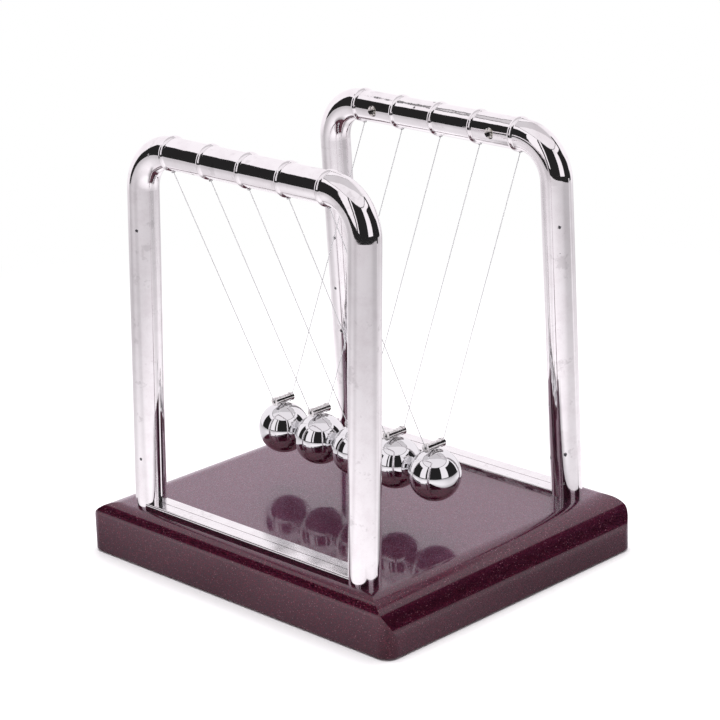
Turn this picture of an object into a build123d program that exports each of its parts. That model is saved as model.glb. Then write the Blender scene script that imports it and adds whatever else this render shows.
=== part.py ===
"""Newton's cradle: five steel balls hung on nylon lines between two chrome-plated frames on a hollow base.

Millimetres. +X runs along the row of balls, +Y from the near frame to the far frame, +Z up.
The origin is the middle of the underside, on the plane the rubber feet stand on.
The far frame is the near frame mirrored in the XZ plane.
"""

import os
from math import cos, radians, sin

from build123d import *

os.makedirs("parts", exist_ok=True)

# Balls, hangers and lines
ball_count = 5
ball_diameter = 18.0
ball_pitch = 18.05
ball_centre_height = 36.5
stem_radius = 0.9
stem_hole_radius = 0.95
stem_depth = 4.0
stem_hole_depth = 4.3
hanger_height = 10.5
hanger_length = 8.4
hanger_radius = 1.4
collar_radius = 1.55
collar_length = 1.3
hanger_bore_radius = 0.5
line_radius = 0.15
line_bore_radius = 0.2
line_bend_radius = 0.6
bead_radius = 0.45
bead_length = 1.0
bead_gap = 0.08

# Base
base_length = 143.5
base_width = 122.0
base_top = 19.0
base_bottom = 0.8
base_wall = 2.4
base_side_round = 5.0
base_end_round = 12.0
base_corner_round = 4.5
cover_thickness = 2.4
cover_gap = 0.15
foot_radius = 6.0
foot_height = 1.6
foot_spacing_x = 112.0
foot_spacing_y = 91.0

# Frames
tube_radius = 5.4
tube_wall = 1.6
post_spacing = 102.8
frame_offset = 49.9
frame_lean = 2.35
bar_height = 125.3
bend_radius = 14.0
foot_solid_height = 6.0
ring_bead_radius = 1.4
ring_rise = 0.6
seam_groove = 0.35
rail_width = 9.6
rail_height = 1.6
rail_edge_round = 0.5
rail_groove = 0.3
line_hole_radius = 0.4
knot_radius = 1.0
knot_gap = 0.05

# Pegs that stand the frames in the base
peg_radius = 3.5
peg_length = 9.0
socket_radius = 3.6
socket_floor = 3.0
boss_radius = 6.0

# Screws
post_screw_radius = 1.25
post_screw_hole_radius = 1.3
post_screw_clearance_radius = 1.5
post_screw_head_radius = 2.7
post_screw_head_height = 1.8
post_screw_reach = 7.0
cover_screw_spacing_x = 64.0
cover_screw_spacing_y = 60.0
cover_screw_length = 9.0
cover_screw_head_radius = 2.6
cover_screw_head_height = 1.4
cover_boss_radius = 3.6
frame_screw_radius = 0.85
frame_screw_hole_radius = 0.9
frame_screw_clearance_radius = 1.05
frame_screw_head_radius = 1.85
frame_screw_head_height = 1.1
frame_screw_recess_radius = 1.95
frame_screw_seat = 3.0
frame_screw_reach = 3.2
frame_boss_radius = 2.6
drive_slot_width = 0.5
drive_slot_depth = 0.6

foot_cut_allowance = 2.5
foot_pocket_gap = 0.05
foot_chamfer = 0.4
countersink_gap = 0.05
drive_slot_reach = 1.7
screw_end_gap = 0.3

# Sizes that follow from the ones above
ball_radius = ball_diameter / 2
cover_top = base_bottom + cover_thickness
socket_bottom = base_top - peg_length - screw_end_gap
boss_bottom = socket_bottom - socket_floor
ring_radius = tube_radius + ring_rise
bore_radius = tube_radius - tube_wall
ceiling = base_top - base_wall
ball_xs = [ball_pitch * (i - (ball_count - 1) / 2) for i in range(ball_count)]
frame_screw_xs = [(ball_xs[0] + ball_xs[1]) / 2, (ball_xs[-2] + ball_xs[-1]) / 2]
lean_sin = sin(radians(frame_lean))
lean_cos = cos(radians(frame_lean))

# The plane of the near frame: x along the bar, y up the leaning posts, z outward from the cradle
frame_plane = Plane(
    origin=(0, -frame_offset, base_top),
    x_dir=(1, 0, 0),
    z_dir=(0, -lean_cos, lean_sin),
)


def frame_point(x, y, z=0.0):
    """A point given in the near frame's plane, in the frame of the whole cradle."""
    return frame_plane.from_local_coords(Vector(x, y, z))


def downward_plane(y):
    """A plane across the near frame at height y that looks down along its posts."""
    return Plane(frame_point(0, y), x_dir=frame_plane.x_dir, z_dir=-frame_plane.y_dir)


# Each line leaves its ring through a bead half sunk in the ring's underside; the beads are the swing axis
pivot = frame_point(0, bar_height - ring_radius)
pivot_y = pivot.Y
pivot_z = pivot.Z


def save(piece, name):
    """Label one sub-part and write it to its own file."""
    piece.label = name
    export_step(piece, f"parts/{name}.step")


def mirrored(piece):
    """The same piece for the far frame."""
    return mirror(piece, about=Plane.XZ)


# ---------------------------------------------------------------- base

def rounded_block(length, width, height, inset):
    """A block on the origin plane, its top edge rounded widely at the ends and tightly along the sides.

    Its rounds are those of the base less the inset, so that a smaller block lies evenly inside a larger one.
    """
    with BuildPart() as block:
        with BuildSketch(Plane.XZ) as front_profile:
            Rectangle(length, height, align=(Align.CENTER, Align.MIN))
            fillet(front_profile.vertices().group_by(Axis.Y)[-1], base_end_round - inset)
        extrude(amount=width / 2, both=True)
        with BuildSketch(Plane.YZ) as side_profile:
            Rectangle(width, height, align=(Align.CENTER, Align.MIN))
            fillet(side_profile.vertices().group_by(Axis.Y)[-1], base_side_round - inset)
        extrude(amount=length / 2, both=True, mode=Mode.INTERSECT)
        with BuildSketch():
            RectangleRounded(length, width, base_corner_round - inset)
        extrude(amount=height, mode=Mode.INTERSECT)
    return block.part


def make_base_skin():
    """The outside of the base as a solid block."""
    return Pos(0, 0, base_bottom) * rounded_block(base_length, base_width, base_top - base_bottom, 0)


def make_base_shell():
    """The hollow base: a skin with four sockets for the frame pegs and four posts for the cover screws."""
    cavity = rounded_block(
        base_length - 2 * base_wall,
        base_width - 2 * base_wall,
        ceiling - base_bottom,
        base_wall,
    )
    with BuildPart() as shell:
        add(make_base_skin())
        with Locations((0, 0, base_bottom)):
            add(cavity, mode=Mode.SUBTRACT)
        with BuildSketch(Plane.XY.offset(boss_bottom)):
            with GridLocations(post_spacing, 2 * frame_offset, 2, 2):
                Circle(boss_radius)
        extrude(amount=ceiling - boss_bottom)
        with BuildSketch(Plane.XY.offset(cover_top)):
            with GridLocations(cover_screw_spacing_x, cover_screw_spacing_y, 2, 2):
                Circle(cover_boss_radius)
        extrude(amount=ceiling - cover_top)
        with BuildSketch(Plane.XY.offset(socket_bottom)):
            with GridLocations(post_spacing, 2 * frame_offset, 2, 2):
                Circle(socket_radius)
        extrude(amount=base_top - socket_bottom, mode=Mode.SUBTRACT)
        with BuildSketch(Plane.XY.offset(boss_bottom)):
            with GridLocations(post_spacing, 2 * frame_offset, 2, 2):
                Circle(post_screw_clearance_radius)
        extrude(amount=socket_floor, mode=Mode.SUBTRACT)
        with BuildSketch(Plane.XY.offset(cover_top)):
            with GridLocations(cover_screw_spacing_x, cover_screw_spacing_y, 2, 2):
                Circle(post_screw_hole_radius)
        extrude(amount=cover_screw_length, mode=Mode.SUBTRACT)
    return shell.part


def make_base_cover():
    """The plate that closes the base, with pockets for the feet and countersunk screw holes."""
    inset = 2 * (base_wall + cover_gap)
    with BuildPart() as cover:
        with BuildSketch(Plane.XY.offset(base_bottom)):
            RectangleRounded(
                base_length - inset,
                base_width - inset,
                base_corner_round - base_wall - cover_gap,
            )
        extrude(amount=cover_thickness)
        with BuildSketch(Plane.XY.offset(base_bottom)):
            with GridLocations(foot_spacing_x, foot_spacing_y, 2, 2):
                Circle(foot_radius + foot_pocket_gap)
        extrude(amount=foot_height - base_bottom, mode=Mode.SUBTRACT)
        with Locations((0, 0, base_bottom)):
            with GridLocations(cover_screw_spacing_x, cover_screw_spacing_y, 2, 2):
                Cylinder(
                    post_screw_clearance_radius,
                    cover_thickness,
                    align=(Align.CENTER, Align.CENTER, Align.MIN),
                    mode=Mode.SUBTRACT,
                )
                Cone(
                    cover_screw_head_radius + countersink_gap,
                    post_screw_clearance_radius,
                    cover_screw_head_height + countersink_gap,
                    align=(Align.CENTER, Align.CENTER, Align.MIN),
                    mode=Mode.SUBTRACT,
                )
    return cover.part


def make_rubber_feet():
    """Four round feet glued in the pockets of the cover."""
    with BuildPart() as feet:
        with BuildSketch():
            with GridLocations(foot_spacing_x, foot_spacing_y, 2, 2):
                Circle(foot_radius)
        extrude(amount=foot_height)
        chamfer(feet.edges().group_by(Axis.Z)[0], foot_chamfer)
    return feet.part


def cross_recess(radius, depth):
    """Cut a cross-shaped driver recess into the head that faces down at the current location."""
    for angle in (0, 90):
        Box(
            2 * radius,
            drive_slot_width,
            depth,
            rotation=(0, 0, angle),
            align=(Align.CENTER, Align.CENTER, Align.MIN),
            mode=Mode.SUBTRACT,
        )


def make_cover_screws():
    """Four countersunk screws that hold the cover."""
    with BuildPart() as screws:
        with Locations((0, 0, base_bottom)):
            with GridLocations(cover_screw_spacing_x, cover_screw_spacing_y, 2, 2):
                Cone(
                    cover_screw_head_radius,
                    post_screw_radius,
                    cover_screw_head_height,
                    align=(Align.CENTER, Align.CENTER, Align.MIN),
                )
                Cylinder(
                    post_screw_radius,
                    cover_screw_length,
                    align=(Align.CENTER, Align.CENTER, Align.MIN),
                )
                cross_recess(drive_slot_reach, drive_slot_depth)
    return screws.part


def make_post_screws():
    """Two pan-head screws that pull the near frame's pegs down into their sockets."""
    with BuildPart() as screws:
        with Locations((0, -frame_offset, boss_bottom)):
            with GridLocations(post_spacing, 0, 2, 1):
                Cylinder(
                    post_screw_radius,
                    socket_floor + post_screw_reach,
                    align=(Align.CENTER, Align.CENTER, Align.MIN),
                )
                Cylinder(
                    post_screw_head_radius,
                    post_screw_head_height,
                    align=(Align.CENTER, Align.CENTER, Align.MAX),
                )
        with Locations((0, -frame_offset, boss_bottom - post_screw_head_height)):
            with GridLocations(post_spacing, 0, 2, 1):
                cross_recess(drive_slot_reach, drive_slot_depth)
    return screws.part


# ---------------------------------------------------------------- frames

def frame_path(foot_y):
    """The centre line of a frame's tube: up one post, across the bar and down the other."""
    side = post_spacing / 2
    bend_y = bar_height - bend_radius
    with BuildLine(frame_plane) as path:
        Line((-side, foot_y), (-side, bend_y))
        RadiusArc((-side, bend_y), (-side + bend_radius, bar_height), bend_radius)
        Line((-side + bend_radius, bar_height), (side - bend_radius, bar_height))
        RadiusArc((side - bend_radius, bar_height), (side, bend_y), bend_radius)
        Line((side, bend_y), (side, foot_y))
    return path.wire()


def make_frame_body():
    """The near frame as one piece: tube, rings and rail, hollow but for its feet and screw columns.

    The feet and the rail follow the rounded top of the base.
    """
    outer_path = frame_path(-foot_cut_allowance)
    inner_path = frame_path(foot_solid_height)
    with BuildPart() as bore:
        with BuildSketch(Plane(inner_path @ 0, x_dir=frame_plane.x_dir, z_dir=inner_path % 0)):
            Circle(bore_radius)
        sweep(path=inner_path)
        with BuildSketch(frame_plane):
            with Locations(*[(x, bar_height) for x in frame_screw_xs]):
                Circle(frame_boss_radius)
        extrude(amount=tube_radius, both=True, mode=Mode.SUBTRACT)
    with BuildPart() as body:
        with BuildSketch(Plane(outer_path @ 0, x_dir=frame_plane.x_dir, z_dir=outer_path % 0)):
            Circle(tube_radius)
            with Locations((tube_radius, 0), (-tube_radius, 0)):
                Rectangle(seam_groove, seam_groove, rotation=45, mode=Mode.SUBTRACT)
        sweep(path=outer_path)
        with Locations(*[frame_plane.location * Location((x, bar_height, 0), (0, 90, 0)) for x in ball_xs]):
            Torus(ring_radius - ring_bead_radius, ring_bead_radius)
        with BuildSketch(Plane(frame_plane.origin, x_dir=frame_plane.z_dir, z_dir=frame_plane.x_dir)):
            RectangleRounded(rail_width, 2 * rail_height, rail_edge_round)
        extrude(amount=post_spacing / 2, both=True)
        add(bore.part, mode=Mode.SUBTRACT)
        with BuildSketch(frame_plane):
            with Locations((0, rail_height)):
                Rectangle(post_spacing - 2 * tube_radius, 2 * rail_groove)
        extrude(amount=rail_groove / 2, both=True, mode=Mode.SUBTRACT)
        with BuildSketch(downward_plane(bar_height)):
            with Locations(*[(x, 0) for x in ball_xs]):
                Circle(line_hole_radius)
        extrude(amount=ring_radius, mode=Mode.SUBTRACT)
        with Locations(*[Location((x, pivot_y, pivot_z), (90, 0, 0)) for x in ball_xs]):
            Cylinder(bead_radius + bead_gap, bead_length + 2 * bead_gap, mode=Mode.SUBTRACT)
        add(make_base_skin(), mode=Mode.SUBTRACT)
    return body.part


def make_outer_half(frame_body):
    """The half shell that faces away from the balls, with blind screw holes and the two pegs."""
    with BuildPart() as half:
        add(frame_body)
        split(bisect_by=frame_plane, keep=Keep.TOP)
        with BuildSketch(frame_plane):
            with Locations(*[(x, bar_height) for x in frame_screw_xs]):
                Circle(frame_screw_hole_radius)
        extrude(amount=frame_screw_reach + screw_end_gap, mode=Mode.SUBTRACT)
        with BuildSketch(Plane.XY.offset(base_top - peg_length)):
            with Locations((0, -frame_offset)):
                with GridLocations(post_spacing, 0, 2, 1):
                    Circle(peg_radius)
        extrude(amount=peg_length)
        with BuildSketch(Plane.XY.offset(base_top - peg_length)):
            with Locations((0, -frame_offset)):
                with GridLocations(post_spacing, 0, 2, 1):
                    Circle(post_screw_hole_radius)
        extrude(amount=post_screw_reach + screw_end_gap, mode=Mode.SUBTRACT)
    return half.part


def make_inner_half(frame_body):
    """The half shell that faces the balls, with the two recessed screw holes."""
    with BuildPart() as half:
        add(frame_body)
        split(bisect_by=frame_plane, keep=Keep.BOTTOM)
        with BuildSketch(frame_plane):
            with Locations(*[(x, bar_height) for x in frame_screw_xs]):
                Circle(frame_screw_clearance_radius)
        extrude(amount=-tube_radius, mode=Mode.SUBTRACT)
        with BuildSketch(frame_plane.offset(-frame_screw_seat)):
            with Locations(*[(x, bar_height) for x in frame_screw_xs]):
                Circle(frame_screw_recess_radius)
        extrude(amount=-tube_radius, mode=Mode.SUBTRACT)
    return half.part


def make_frame_screws():
    """The two screws that clamp the near frame's halves together."""
    head_face = -frame_screw_seat - frame_screw_head_height
    seats = [frame_plane.location * Location((x, bar_height, head_face)) for x in frame_screw_xs]
    with BuildPart() as screws:
        with Locations(*seats):
            Cylinder(
                frame_screw_head_radius,
                frame_screw_head_height,
                align=(Align.CENTER, Align.CENTER, Align.MIN),
            )
            Cylinder(
                frame_screw_radius,
                frame_screw_reach - head_face,
                align=(Align.CENTER, Align.CENTER, Align.MIN),
            )
            cross_recess(frame_screw_head_radius - drive_slot_width, drive_slot_depth)
    return screws.part


def make_line_knots():
    """The fixed ends of the five lines: a knot inside the bar and a tail down to the pocket of the bead."""
    knot_y = bar_height - bore_radius + knot_radius + knot_gap
    with BuildPart() as knots:
        with Locations(*[frame_point(x, knot_y) for x in ball_xs]):
            Sphere(knot_radius)
        with BuildSketch(downward_plane(knot_y)):
            with Locations(*[(x, 0) for x in ball_xs]):
                Circle(line_radius)
        extrude(amount=knot_y - bar_height + ring_radius - bead_radius - bead_gap)
    return knots.part


# ---------------------------------------------------------------- pendulums

def make_ball(x):
    """One steel ball, drilled from the top for its hanger."""
    with BuildPart() as ball:
        with Locations((x, 0, ball_centre_height)):
            Sphere(ball_radius)
        with Locations((x, 0, ball_centre_height + ball_radius)):
            Cylinder(
                stem_hole_radius,
                stem_hole_depth,
                align=(Align.CENTER, Align.CENTER, Align.MAX),
                mode=Mode.SUBTRACT,
            )
    return ball.part


def make_hanger(x):
    """The small cross tube that carries the ball on its line, with a collar at each end and a stem below."""
    tube_z = ball_centre_height + hanger_height
    with BuildPart() as hanger:
        with BuildSketch(Plane.XZ.offset(-hanger_length / 2)):
            with Locations((x, tube_z)):
                Circle(hanger_radius)
        extrude(amount=hanger_length)
        for start in (-hanger_length / 2, hanger_length / 2 - collar_length):
            with BuildSketch(Plane.XZ.offset(start)):
                with Locations((x, tube_z)):
                    Circle(collar_radius)
            extrude(amount=collar_length)
        with BuildSketch(Plane.XY.offset(ball_centre_height + ball_radius - stem_depth)):
            with Locations((x, 0)):
                Circle(stem_radius)
        extrude(amount=stem_depth + hanger_height - ball_radius)
        with BuildSketch(Plane.XZ.offset(-hanger_length / 2)):
            with Locations((x, tube_z)):
                Circle(hanger_bore_radius)
        extrude(amount=hanger_length, mode=Mode.SUBTRACT)
    return hanger.part


def make_line(x):
    """One nylon line: down from the near bead, through the hanger and up to the far bead."""
    tube_z = ball_centre_height + hanger_height
    with BuildPart() as line:
        with BuildLine() as path:
            FilletPolyline(
                (x, pivot_y, pivot_z),
                (x, -hanger_length / 2, tube_z),
                (x, hanger_length / 2, tube_z),
                (x, -pivot_y, pivot_z),
                radius=line_bend_radius,
            )
        with BuildSketch(Plane(path.wire() @ 0, z_dir=path.wire() % 0)):
            Circle(line_radius)
        sweep()
    return line.part


def make_line_bead(x):
    """The bead the near end of a line comes out of; its round face lies on the swing axis."""
    start = Vector(x, pivot_y, pivot_z)
    direction = Vector(x, -hanger_length / 2, ball_centre_height + hanger_height) - start
    with BuildPart() as bead:
        with Locations(Location(start, (90, 0, 0))):
            Cylinder(bead_radius, bead_length)
        with BuildSketch(Plane(start, z_dir=direction)):
            Circle(line_bore_radius)
        extrude(amount=bead_length, mode=Mode.SUBTRACT)
    return bead.part


save(make_base_shell(), "base_shell")
save(make_base_cover(), "base_cover")
save(make_rubber_feet(), "rubber_feet")
save(make_cover_screws(), "cover_screws")

near_frame = make_frame_body()
near_pieces = {
    "frame_outer_half": make_outer_half(near_frame),
    "frame_inner_half": make_inner_half(near_frame),
    "frame_screws": make_frame_screws(),
    "post_screws": make_post_screws(),
    "line_knots": make_line_knots(),
}
for name, piece in near_pieces.items():
    save(piece, f"near_{name}")
    save(mirrored(piece), f"far_{name}")

for number, ball_x in enumerate(ball_xs, start=1):
    save(make_ball(ball_x), f"ball_{number}")
    save(make_hanger(ball_x), f"hanger_{number}")
    save(make_line(ball_x), f"line_{number}")
    near_bead = make_line_bead(ball_x)
    save(near_bead, f"near_line_bead_{number}")
    save(mirrored(near_bead), f"far_line_bead_{number}")
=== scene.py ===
"""Newton's cradle: finishes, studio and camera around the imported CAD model.

Metres, in the frame of the CAD model: +X along the row of balls, +Y from the near frame to the
far frame, +Z up. Every shape comes from the CAD nodes; this script gives each of them its finish.
Texture sizes are given in millimetres, because shaders read each node's own coordinates in mm.
"""

from math import cos, radians, sin

import bpy
from mathutils import Matrix, Vector


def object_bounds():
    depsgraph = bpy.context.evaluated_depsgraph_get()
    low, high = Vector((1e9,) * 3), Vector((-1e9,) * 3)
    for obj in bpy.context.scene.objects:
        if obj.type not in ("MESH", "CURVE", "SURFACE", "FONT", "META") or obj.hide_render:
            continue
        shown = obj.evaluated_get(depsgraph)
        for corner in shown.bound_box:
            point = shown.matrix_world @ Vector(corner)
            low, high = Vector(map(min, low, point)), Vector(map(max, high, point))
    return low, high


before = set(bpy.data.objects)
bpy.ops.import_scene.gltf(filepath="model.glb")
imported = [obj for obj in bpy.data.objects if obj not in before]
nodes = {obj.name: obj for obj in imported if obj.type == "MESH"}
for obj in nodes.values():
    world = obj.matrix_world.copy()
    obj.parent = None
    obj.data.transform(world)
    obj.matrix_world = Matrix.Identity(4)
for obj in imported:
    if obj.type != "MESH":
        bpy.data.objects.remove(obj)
cad_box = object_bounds()

MILLIMETRE = 0.001

# Heights above the ground in millimetres: the foot rail's top, and the bend from the posts to the bar
RAIL_TOP = 20.9
BEND_START = 134.0
BEND_END = 144.0

# Camera
CAMERA_AIM = Vector((0.0020, 0.0006, 0.0693))
CAMERA_DISTANCE = 0.8586
CAMERA_AZIMUTH = 44.9
CAMERA_ELEVATION = 18.5
CAMERA_ROLL = -1.78
CAMERA_LENS = 126.9

# The light of the studio that mirrors see, as radiance
DARK_ROOM = 0.02
BACKDROP = 1.03
SOFTBOX_FRAME = 0.12
OVERHEAD_FRONT = 0.95
OVERHEAD_BEHIND = 0.68
LIGHT_TINT = (1.03, 0.98, 1.02)
DIFFUSE_BOOST = 1.2

# The floor that the camera sees: grey paint that fades into the white backdrop between two distances
FLOOR_SIZE = 30.0
FLOOR_GREY = 0.86
FLOOR_FADE = (0.12, 0.40)

# The table that mirrors see is painted glow: it falls with the distance, in broad painted sheen stripes,
# with a painted shadow of the base
TABLE_GLOW = (1.12, 0.68)
TABLE_GLOW_REACH = (0.06, 0.50)
STRIPE_SIZE = 1.2
STRIPE_GLOW = (0.78, 1.06)
# Painted shadow of the base on the table's glow: its darkest value, and how far it reaches in metres
BASE_PAINTED_SHADOW = 0.40
PAINTED_SHADOW_REACH = 0.045

# The table ends in the dark room toward the camera, and blends into the backdrop away from it
TABLE_RADIUS = 0.78
TABLE_EDGE_SOFTNESS = 0.004
FRONT_LIMITS = (-0.42, -0.36)
BACKDROP_BLEND = (0.3, 0.9)

# The lamp for matt surfaces
LAMP_SIZE = 1.2
LAMP_WATTS = 16.0
LAMP_PLACE = (-0.1, 0.1, 1.2)

# Each card of the studio: what it is, its azimuth range (degrees, 0 toward the camera, positive to the
# camera's right), elevation range (degrees) and radiance. Later cards are painted over earlier ones.
CARDS = [
    ("backdrop", (-180, 180), (-90, 90), BACKDROP),
    ("dark wall on the left", (-113, -68), (-90, 36), DARK_ROOM),
    ("dark wall on the right", (58, 111), (-90, 38), DARK_ROOM),
    ("dark room behind the camera", (-30, 27), (-90, 50), DARK_ROOM),
    ("light stand", (-42, -36), (-90, 50), DARK_ROOM),
    ("frame of the overhead softbox", (-180, 180), (47, 54), SOFTBOX_FRAME),
    ("overhead softbox", (-180, 180), (48.5, 90), OVERHEAD_FRONT),
    ("far half of the softbox, left", (-180, -100), (48.5, 90), OVERHEAD_BEHIND),
    ("far half of the softbox, right", (100, 180), (48.5, 90), OVERHEAD_BEHIND),
]
CARD_SOFTNESS = 0.6

# The mean of the random colours of Voronoi cells
MEAN_COLOUR = (0.5, 0.5, 0.5)


# ---------------------------------------------------------------- shader helpers

class Graph:
    """A node tree built one call at a time; every value may be a number, a colour or a socket."""

    def __init__(self, tree):
        self.tree = tree
        tree.nodes.clear()

    def add(self, kind, values=None, **settings):
        """Add a node with the given settings, and fill its inputs by name or number."""
        node = self.tree.nodes.new(kind)
        for name, value in settings.items():
            setattr(node, name, value)
        for key, value in (values or {}).items():
            self.fill(node.inputs[key], value)
        return node

    def fill(self, socket, value):
        """Join a socket to an input, or set the input's value."""
        if isinstance(value, bpy.types.NodeSocket):
            self.tree.links.new(value, socket)
        elif socket.type == "RGBA" and not isinstance(value, (int, float)):
            socket.default_value = (*value, 1.0)
        elif socket.type == "RGBA":
            socket.default_value = (value, value, value, 1.0)
        else:
            socket.default_value = value

    def math(self, operation, first, second=0.0):
        """Arithmetic on one or two numbers."""
        node = self.add("ShaderNodeMath", {0: first, 1: second}, operation=operation)
        return node.outputs[0]

    def vector(self, operation, first, second=(0.0, 0.0, 0.0)):
        """Arithmetic on one or two vectors."""
        node = self.add("ShaderNodeVectorMath", {0: first, 1: second}, operation=operation)
        return node.outputs["Value" if operation == "DOT_PRODUCT" else "Vector"]

    def scaled(self, vector, factor):
        """A vector or colour times a number."""
        node = self.add("ShaderNodeVectorMath", {0: vector, "Scale": factor}, operation="SCALE")
        return node.outputs["Vector"]

    def step(self, value, low, high, bottom=0.0, top=1.0):
        """A smooth step from bottom to top while value goes from low to high."""
        values = {"Value": value, "From Min": low, "From Max": high, "To Min": bottom, "To Max": top}
        node = self.add("ShaderNodeMapRange", values, interpolation_type="SMOOTHSTEP")
        return node.outputs["Result"]

    def window(self, value, limits, end):
        """One inside the limits, zero outside, soft between; a limit at the end of the scale is open."""
        low, high = limits
        rise = self.step(value, low - CARD_SOFTNESS, low + CARD_SOFTNESS) if low > -end else 1.0
        fall = self.step(value, high - CARD_SOFTNESS, high + CARD_SOFTNESS, 1.0, 0.0) if high < end else 1.0
        return self.math("MULTIPLY", rise, fall)

    def mix(self, factor, first, second):
        """Blend two colours."""
        values = {"Factor": factor, 6: first, 7: second}
        return self.add("ShaderNodeMix", values, data_type="RGBA").outputs[2]

    def noise(self, coordinates, size, detail=3.0, roughness=0.5):
        """Smooth noise whose features are about size across, in the unit of the coordinates."""
        values = {"Vector": coordinates, "Scale": 1 / size, "Detail": detail, "Roughness": roughness}
        return self.add("ShaderNodeTexNoise", values).outputs["Fac"]

    def cells(self, coordinates, size):
        """Voronoi cells about size across: the distance to a cell's centre and its random colour."""
        values = {"Vector": coordinates, "Scale": 1 / size}
        node = self.add("ShaderNodeTexVoronoi", values)
        return node.outputs["Distance"], node.outputs["Color"]

    def bump(self, height, depth, normal=None):
        """A surface normal for a height between 0 and 1 that is depth millimetres deep."""
        values = {"Height": height, "Distance": depth * MILLIMETRE, "Strength": 1.0}
        if normal is not None:
            values["Normal"] = normal
        return self.add("ShaderNodeBump", values).outputs["Normal"]

    def millimetres(self):
        """The piece's own coordinates in millimetres, which move with it."""
        coordinates = self.add("ShaderNodeTexCoord").outputs["Object"]
        return self.scaled(coordinates, 1 / MILLIMETRE)

    def vertical(self, vector):
        """The vertical part of a vector."""
        return self.add("ShaderNodeSeparateXYZ", {0: vector}).outputs["Z"]

    def channels(self, colour):
        """The red, green and blue of a colour: three numbers that are random for a random colour."""
        return self.add("ShaderNodeSeparateColor", {0: colour}).outputs

    def surface(self, values):
        """The finished surface: one Principled shader."""
        shader = self.add("ShaderNodeBsdfPrincipled", values)
        output = self.add("ShaderNodeOutputMaterial")
        self.tree.links.new(shader.outputs[0], output.inputs["Surface"])


def new_material(name):
    """An empty node material and its graph."""
    material = bpy.data.materials.new(name)
    material.use_nodes = True
    return material, Graph(material.node_tree)


# ---------------------------------------------------------------- finishes

def chrome_plating():
    """Bright plating over moulded plastic: a wavy mirror with fine haze, worn spots and a few pits.

    The thick bars sank most in the mould, so they are the waviest; the foot rail's flat top is satin.
    """
    wave_size = 9.0
    wave_depth = 0.036
    ripple_size = 2.2
    ripple_depth = 0.0040
    bar_sinking = 3.5
    haze_size = 6.0
    worn_size = 9.0
    pit_spacing = 7.0
    pit_raggedness = 0.10
    pit_rim = (0.105, 0.145)
    pit_depth = 0.10
    pit_chance_limits = (0.62, 0.64)
    satin_roughness = 0.10
    bright = (0.90, 0.885, 0.895)
    hazy = (0.83, 0.80, 0.815)
    rubbed = (0.62, 0.60, 0.61)
    dirt = (0.10, 0.10, 0.11)

    material, g = new_material("chrome_plating")
    place = g.millimetres()
    height = g.vertical(place)
    sunken = g.step(height, BEND_START, BEND_END, 1.0, bar_sinking)
    waves = g.math("MULTIPLY", g.noise(place, wave_size, detail=1.0), sunken)
    ripple = g.math("MULTIPLY", g.noise(place, ripple_size, detail=3.0, roughness=0.6), sunken)
    haze = g.noise(place, haze_size, detail=5.0, roughness=0.65)
    worn = g.step(g.noise(place, worn_size, detail=4.0, roughness=0.7), 0.60, 0.68)
    pit_distance, pit_colour = g.cells(place, pit_spacing)
    pit_shape = g.math("ADD", pit_distance, g.math("MULTIPLY", g.noise(place, 0.5), pit_raggedness))
    pits = g.step(pit_shape, *pit_rim, 1.0, 0.0)
    pits = g.math("MULTIPLY", pits, g.step(g.channels(pit_colour)[0], *pit_chance_limits))
    low = g.step(height, RAIL_TOP, RAIL_TOP + 0.5, 1.0, 0.0)
    facing = g.add("ShaderNodeNewGeometry").outputs["True Normal"]
    satin = g.math("MULTIPLY", low, g.step(g.vertical(facing), 0.90, 0.98))
    normal = g.bump(waves, wave_depth)
    normal = g.bump(ripple, ripple_depth, normal)
    normal = g.bump(g.math("SUBTRACT", 1.0, pits), pit_depth, normal)
    tint = g.mix(g.step(haze, 0.35, 0.75), bright, hazy)
    tint = g.mix(g.math("MULTIPLY", worn, 0.5), tint, rubbed)
    roughness = g.math("ADD", g.step(haze, 0.35, 0.8, 0.03, 0.08), g.math("MULTIPLY", pits, 0.3))
    g.surface({
        "Base Color": g.mix(pits, tint, dirt),
        "Metallic": 1.0,
        "Roughness": g.math("ADD", roughness, g.math("MULTIPLY", satin, satin_roughness)),
        "Normal": normal,
    })
    return material


def polished_ball():
    """Polished steel: an even mirror with hairline polishing marks and faint finger haze."""
    smudge_size = 4.0
    hairline_size = 2.0
    hairline_squeeze = (1.0, 14.0, 1.6)
    hairline_depth = 0.0004

    material, g = new_material("polished_ball_steel")
    place = g.millimetres()
    smudge = g.noise(place, smudge_size, detail=4.0, roughness=0.6)
    squeezed = g.vector("MULTIPLY", place, hairline_squeeze)
    hairlines = g.noise(squeezed, hairline_size, detail=4.0, roughness=0.7)
    g.surface({
        "Base Color": g.mix(smudge, (0.84, 0.84, 0.85), (0.76, 0.76, 0.78)),
        "Metallic": 1.0,
        "Roughness": g.step(smudge, 0.45, 0.75, 0.018, 0.07),
        "Normal": g.bump(hairlines, hairline_depth),
    })
    return material


def hanger_steel():
    """Small turned tubes: fine turning grooves, duller than the balls, with darker stains."""
    groove_squeeze = (0.5, 9.0, 0.5)
    groove_size = 1.0
    groove_depth = 0.004
    stain_size = 1.2

    material, g = new_material("turned_hanger_steel")
    place = g.millimetres()
    turned = g.noise(g.vector("MULTIPLY", place, groove_squeeze), groove_size, detail=3.0)
    stain = g.noise(place, stain_size, detail=4.0)
    g.surface({
        "Base Color": g.mix(g.step(stain, 0.4, 0.7), (0.86, 0.85, 0.85), (0.60, 0.58, 0.57)),
        "Metallic": 1.0,
        "Roughness": g.step(turned, 0.3, 0.7, 0.07, 0.17),
        "Normal": g.bump(turned, groove_depth),
    })
    return material


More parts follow.
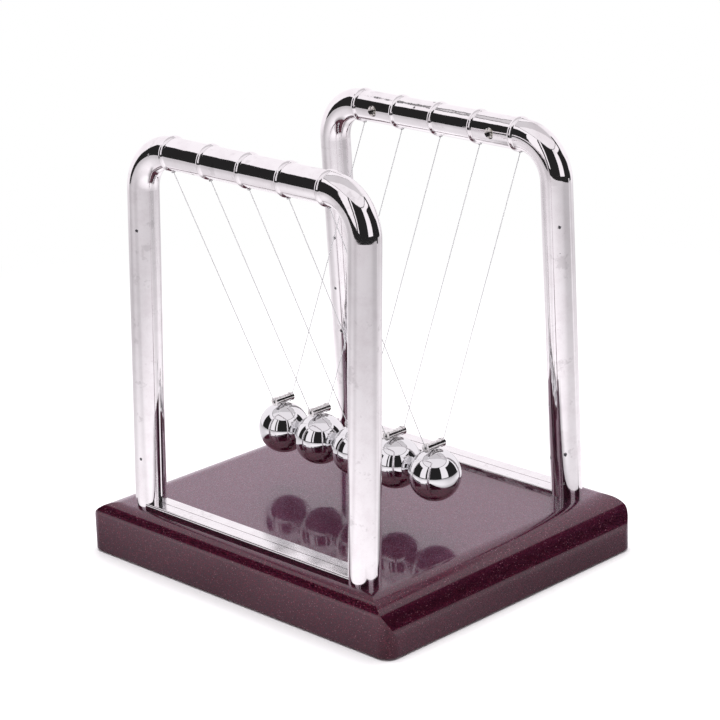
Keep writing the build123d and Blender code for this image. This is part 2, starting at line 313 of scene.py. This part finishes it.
def zinc_screw():
    """Zinc-plated screws: greyish, with patches of faint yellow passivation and a fine grain."""
    bloom_size = 0.8
    grain_size = 0.15
    grain_depth = 0.004

    material, g = new_material("zinc_plated_screw")
    place = g.millimetres()
    bloom = g.noise(place, bloom_size, detail=4.0, roughness=0.6)
    grain = g.noise(place, grain_size, detail=2.0)
    g.surface({
        "Base Color": g.mix(bloom, (0.80, 0.80, 0.80), (0.66, 0.63, 0.56)),
        "Metallic": 1.0,
        "Roughness": g.step(bloom, 0.3, 0.7, 0.13, 0.30),
        "Normal": g.bump(grain, grain_depth),
    })
    return material


def base_lacquer():
    """Maroon metallic paint: flakes tilted at random under a clear coat with slight orange peel.

    The flakes reflect purple rather than white at grazing angles.
    """
    flake_size = 0.20
    flake_tilt = 0.45
    cloud_size = 9.0
    haze_size = 14.0
    peel_size = 1.8
    peel_depth = 0.0022
    maroon = (0.059, 0.003, 0.021)
    dark_maroon = (0.038, 0.002, 0.014)
    red_flake = (0.17, 0.020, 0.045)
    pink_flake = (0.42, 0.20, 0.24)
    grazing_tint = (0.92, 0.76, 0.95)

    material, g = new_material("maroon_flake_lacquer")
    place = g.millimetres()
    _, flake_colour = g.cells(place, flake_size)
    flake = g.channels(flake_colour)
    cloud = g.noise(place, cloud_size, detail=3.0)
    tilt = g.vector("SUBTRACT", flake_colour, MEAN_COLOUR)
    facing = g.add("ShaderNodeNewGeometry").outputs["Normal"]
    flake_normal = g.vector("NORMALIZE", g.vector("ADD", facing, g.scaled(tilt, flake_tilt)))
    body = g.mix(cloud, maroon, dark_maroon)
    body = g.mix(g.step(flake[0], 0.45, 1.0), body, red_flake)
    body = g.mix(g.step(flake[1], 0.975, 0.998), body, pink_flake)
    haze = g.noise(place, haze_size, detail=5.0, roughness=0.6)
    g.surface({
        "Base Color": body,
        "Metallic": 1.0,
        "Specular Tint": grazing_tint,
        "Roughness": g.step(flake[2], 0.0, 1.0, 0.28, 0.42),
        "Normal": flake_normal,
        "Coat Weight": 1.0,
        "Coat IOR": 1.55,
        "Coat Roughness": g.step(haze, 0.4, 0.75, 0.06, 0.13),
        "Coat Normal": g.bump(g.noise(place, peel_size, detail=2.0), peel_depth),
    })
    return material


def clear_nylon():
    """Clear nylon: nearly colourless, with a little milkiness that varies along the line."""
    milky_size = 3.0
    scuff_size = 0.4
    scuff_depth = 0.004

    material, g = new_material("clear_nylon")
    place = g.millimetres()
    milky = g.noise(place, milky_size, detail=3.0)
    g.surface({
        "Base Color": g.mix(milky, (0.90, 0.90, 0.91), (0.76, 0.77, 0.79)),
        "Roughness": g.step(milky, 0.3, 0.7, 0.10, 0.25),
        "IOR": 1.53,
        "Transmission Weight": 0.65,
        "Normal": g.bump(g.noise(place, scuff_size), scuff_depth),
    })
    return material


def spark_textured_plastic():
    """Matt black moulded plastic with a spark-eroded texture and paler rubbed patches."""
    texture_size = 0.35
    texture_depth = 0.05
    rubbed_size = 16.0

    material, g = new_material("matt_cover_plastic")
    place = g.millimetres()
    texture = g.noise(place, texture_size, detail=3.0, roughness=0.6)
    rubbed = g.noise(place, rubbed_size, detail=4.0)
    g.surface({
        "Base Color": g.mix(g.step(rubbed, 0.45, 0.7), (0.018, 0.018, 0.020), (0.034, 0.033, 0.034)),
        "Roughness": g.step(rubbed, 0.4, 0.7, 0.62, 0.45),
        "Normal": g.bump(texture, texture_depth),
    })
    return material


def foot_rubber():
    """Dark grey rubber with a powdery bloom and fine pores."""
    bloom_size = 2.5
    pore_size = 0.25
    pore_depth = 0.03

    material, g = new_material("foot_rubber")
    place = g.millimetres()
    bloom = g.noise(place, bloom_size, detail=5.0, roughness=0.65)
    pores = g.noise(place, pore_size, detail=2.0)
    g.surface({
        "Base Color": g.mix(g.step(bloom, 0.4, 0.7), (0.030, 0.030, 0.031), (0.085, 0.083, 0.080)),
        "Roughness": g.step(bloom, 0.3, 0.7, 0.75, 0.92),
        "Normal": g.bump(pores, pore_depth),
    })
    return material


# The finish of each of the record's material slots
FINISHES = {
    "base_lacquer": base_lacquer,
    "cover_plastic": spark_textured_plastic,
    "foot_rubber": foot_rubber,
    "frame_plating": chrome_plating,
    "screw_steel": zinc_screw,
    "line_nylon": clear_nylon,
    "ball_steel": polished_ball,
    "hanger_steel": hanger_steel,
}


def dress_nodes():
    """Give every CAD node the finish of its material slot."""
    finishes = {slot: make() for slot, make in FINISHES.items()}
    for node in nodes.values():
        for slot in node.material_slots:
            slot.material = finishes[slot.material.name]


# ---------------------------------------------------------------- studio

def toward_camera(azimuth, elevation):
    """The unit vector from the object to a camera at that azimuth and elevation in degrees."""
    turn = radians(azimuth)
    lift = radians(elevation)
    return Vector((sin(turn) * cos(lift), -cos(turn) * cos(lift), sin(lift)))


def studio_world():
    """A pale backdrop with dark walls and an overhead softbox; the camera itself sees plain white."""
    world = bpy.data.worlds.new("studio")
    world.use_nodes = True
    bpy.context.scene.world = world
    g = Graph(world.node_tree)
    direction = g.add("ShaderNodeTexCoord").outputs["Generated"]
    front = toward_camera(CAMERA_AZIMUTH, 0)
    side = Vector((-front.y, front.x, 0))
    ahead = g.vector("DOT_PRODUCT", direction, front)
    across = g.vector("DOT_PRODUCT", direction, side)
    azimuth = g.math("DEGREES", g.math("ARCTAN2", across, ahead))
    elevation = g.math("DEGREES", g.math("ARCSINE", g.vertical(direction)))
    light = 0.0
    for _, azimuths, elevations, radiance in CARDS:
        mask = g.math("MULTIPLY", g.window(azimuth, azimuths, 180), g.window(elevation, elevations, 90))
        light = g.math("ADD", light, g.math("MULTIPLY", mask, g.math("SUBTRACT", radiance, light)))
    path = g.add("ShaderNodeLightPath").outputs
    boost = g.math("ADD", 1.0, g.math("MULTIPLY", path["Is Diffuse Ray"], DIFFUSE_BOOST - 1))
    light = g.math("MULTIPLY", light, boost)
    seen = g.mix(path["Is Camera Ray"], g.scaled(LIGHT_TINT, light), 1.0)
    background = g.add("ShaderNodeBackground", {"Color": seen})
    output = g.add("ShaderNodeOutputWorld")
    g.tree.links.new(background.outputs[0], output.inputs["Surface"])


def table_glow(g):
    """What mirrors see of the floor: the painted light of a lit table, with a painted shadow of the base,
    that ends in a dark room on the camera's side.

    Gives the distance from the origin and the colour of the glow.
    """
    place = g.add("ShaderNodeNewGeometry").outputs["Position"]
    distance = g.add("ShaderNodeVectorMath", {0: place}, operation="LENGTH").outputs["Value"]
    outward = g.vector("NORMALIZE", place)
    # painted sheen: broad stripes of brighter and darker glow across the painted table
    painted_sheen_stripes = g.step(g.noise(outward, STRIPE_SIZE, detail=0.5), 0.38, 0.62, *STRIPE_GLOW)
    # painted light: the table's glow falls off with the distance from the origin
    table = g.math("MULTIPLY", g.step(distance, *TABLE_GLOW_REACH, *TABLE_GLOW), painted_sheen_stripes)
    base_corner = cad_box[1]
    beyond_base = [
        g.math("SUBTRACT", g.math("ABSOLUTE", side), half)
        for side, half in zip(g.add("ShaderNodeSeparateXYZ", {0: place}).outputs, base_corner[:2])
    ]
    # painted shadow: the table's glow darkens toward the base's footprint
    painted_shadow = g.step(g.math("MAXIMUM", *beyond_base), 0.0, PAINTED_SHADOW_REACH, BASE_PAINTED_SHADOW, 1.0)
    table = g.math("MULTIPLY", table, painted_shadow)
    ahead = g.vector("DOT_PRODUCT", place, toward_camera(CAMERA_AZIMUTH, 0))
    in_front = g.step(g.math("DIVIDE", ahead, distance), *FRONT_LIMITS)
    ended = g.step(distance, TABLE_RADIUS - TABLE_EDGE_SOFTNESS, TABLE_RADIUS + TABLE_EDGE_SOFTNESS)
    table = g.mix(g.math("MULTIPLY", in_front, ended), table, DARK_ROOM)
    behind = g.math("MULTIPLY", g.math("SUBTRACT", 1.0, in_front), g.step(distance, *BACKDROP_BLEND))
    return distance, g.scaled(LIGHT_TINT, g.mix(behind, table, BACKDROP))


def studio_floor():
    """A pale floor that fades to white for the camera; mirrors see the painted glow of a lit table instead.
    """
    bpy.ops.mesh.primitive_plane_add(size=FLOOR_SIZE)
    floor = bpy.context.object
    floor.name = "studio_floor"
    material, g = new_material("pale_floor")
    floor.data.materials.append(material)
    distance, glow_colour = table_glow(g)
    path = g.add("ShaderNodeLightPath").outputs
    mirrored = g.math("MAXIMUM", path["Is Glossy Ray"], path["Is Singular Ray"])
    paint = g.add("ShaderNodeBsdfDiffuse", {"Color": FLOOR_GREY})
    glow = g.add("ShaderNodeEmission", {"Color": g.mix(mirrored, 1.0, glow_colour)})
    faded = g.step(distance, *FLOOR_FADE)
    shader = g.add("ShaderNodeMixShader", {0: g.math("MAXIMUM", mirrored, faded)})
    g.tree.links.new(paint.outputs[0], shader.inputs[1])
    g.tree.links.new(glow.outputs[0], shader.inputs[2])
    output = g.add("ShaderNodeOutputMaterial")
    g.tree.links.new(shader.outputs[0], output.inputs["Surface"])


def soft_light():
    """The overhead softbox's light on matt surfaces and the floor; mirrors see the cards instead."""
    data = bpy.data.lights.new("overhead_softbox", "AREA")
    data.shape = "SQUARE"
    data.size = LAMP_SIZE
    data.energy = LAMP_WATTS
    lamp = bpy.data.objects.new("overhead_softbox", data)
    bpy.context.scene.collection.objects.link(lamp)
    lamp.location = LAMP_PLACE
    lamp.visible_glossy = False
    lamp.visible_camera = False


def studio_camera():
    """A long lens aimed at the middle of the cradle, with a slight roll."""
    data = bpy.data.cameras.new("camera")
    data.lens = CAMERA_LENS
    data.clip_start = 0.01
    camera = bpy.data.objects.new("camera", data)
    bpy.context.scene.collection.objects.link(camera)
    back = toward_camera(CAMERA_AZIMUTH, CAMERA_ELEVATION)
    right = Vector((0, 0, 1)).cross(back).normalized()
    up = back.cross(right)
    axes = Matrix((right, up, back)).transposed()
    roll = Matrix.Rotation(radians(CAMERA_ROLL), 3, "Z")
    camera.matrix_world = Matrix.Translation(CAMERA_AIM + CAMERA_DISTANCE * back) @ (axes @ roll).to_4x4()
    bpy.context.scene.camera = camera


dress_nodes()
studio_world()
studio_floor()
soft_light()
studio_camera()
bpy.context.scene.view_settings.view_transform = "Standard"
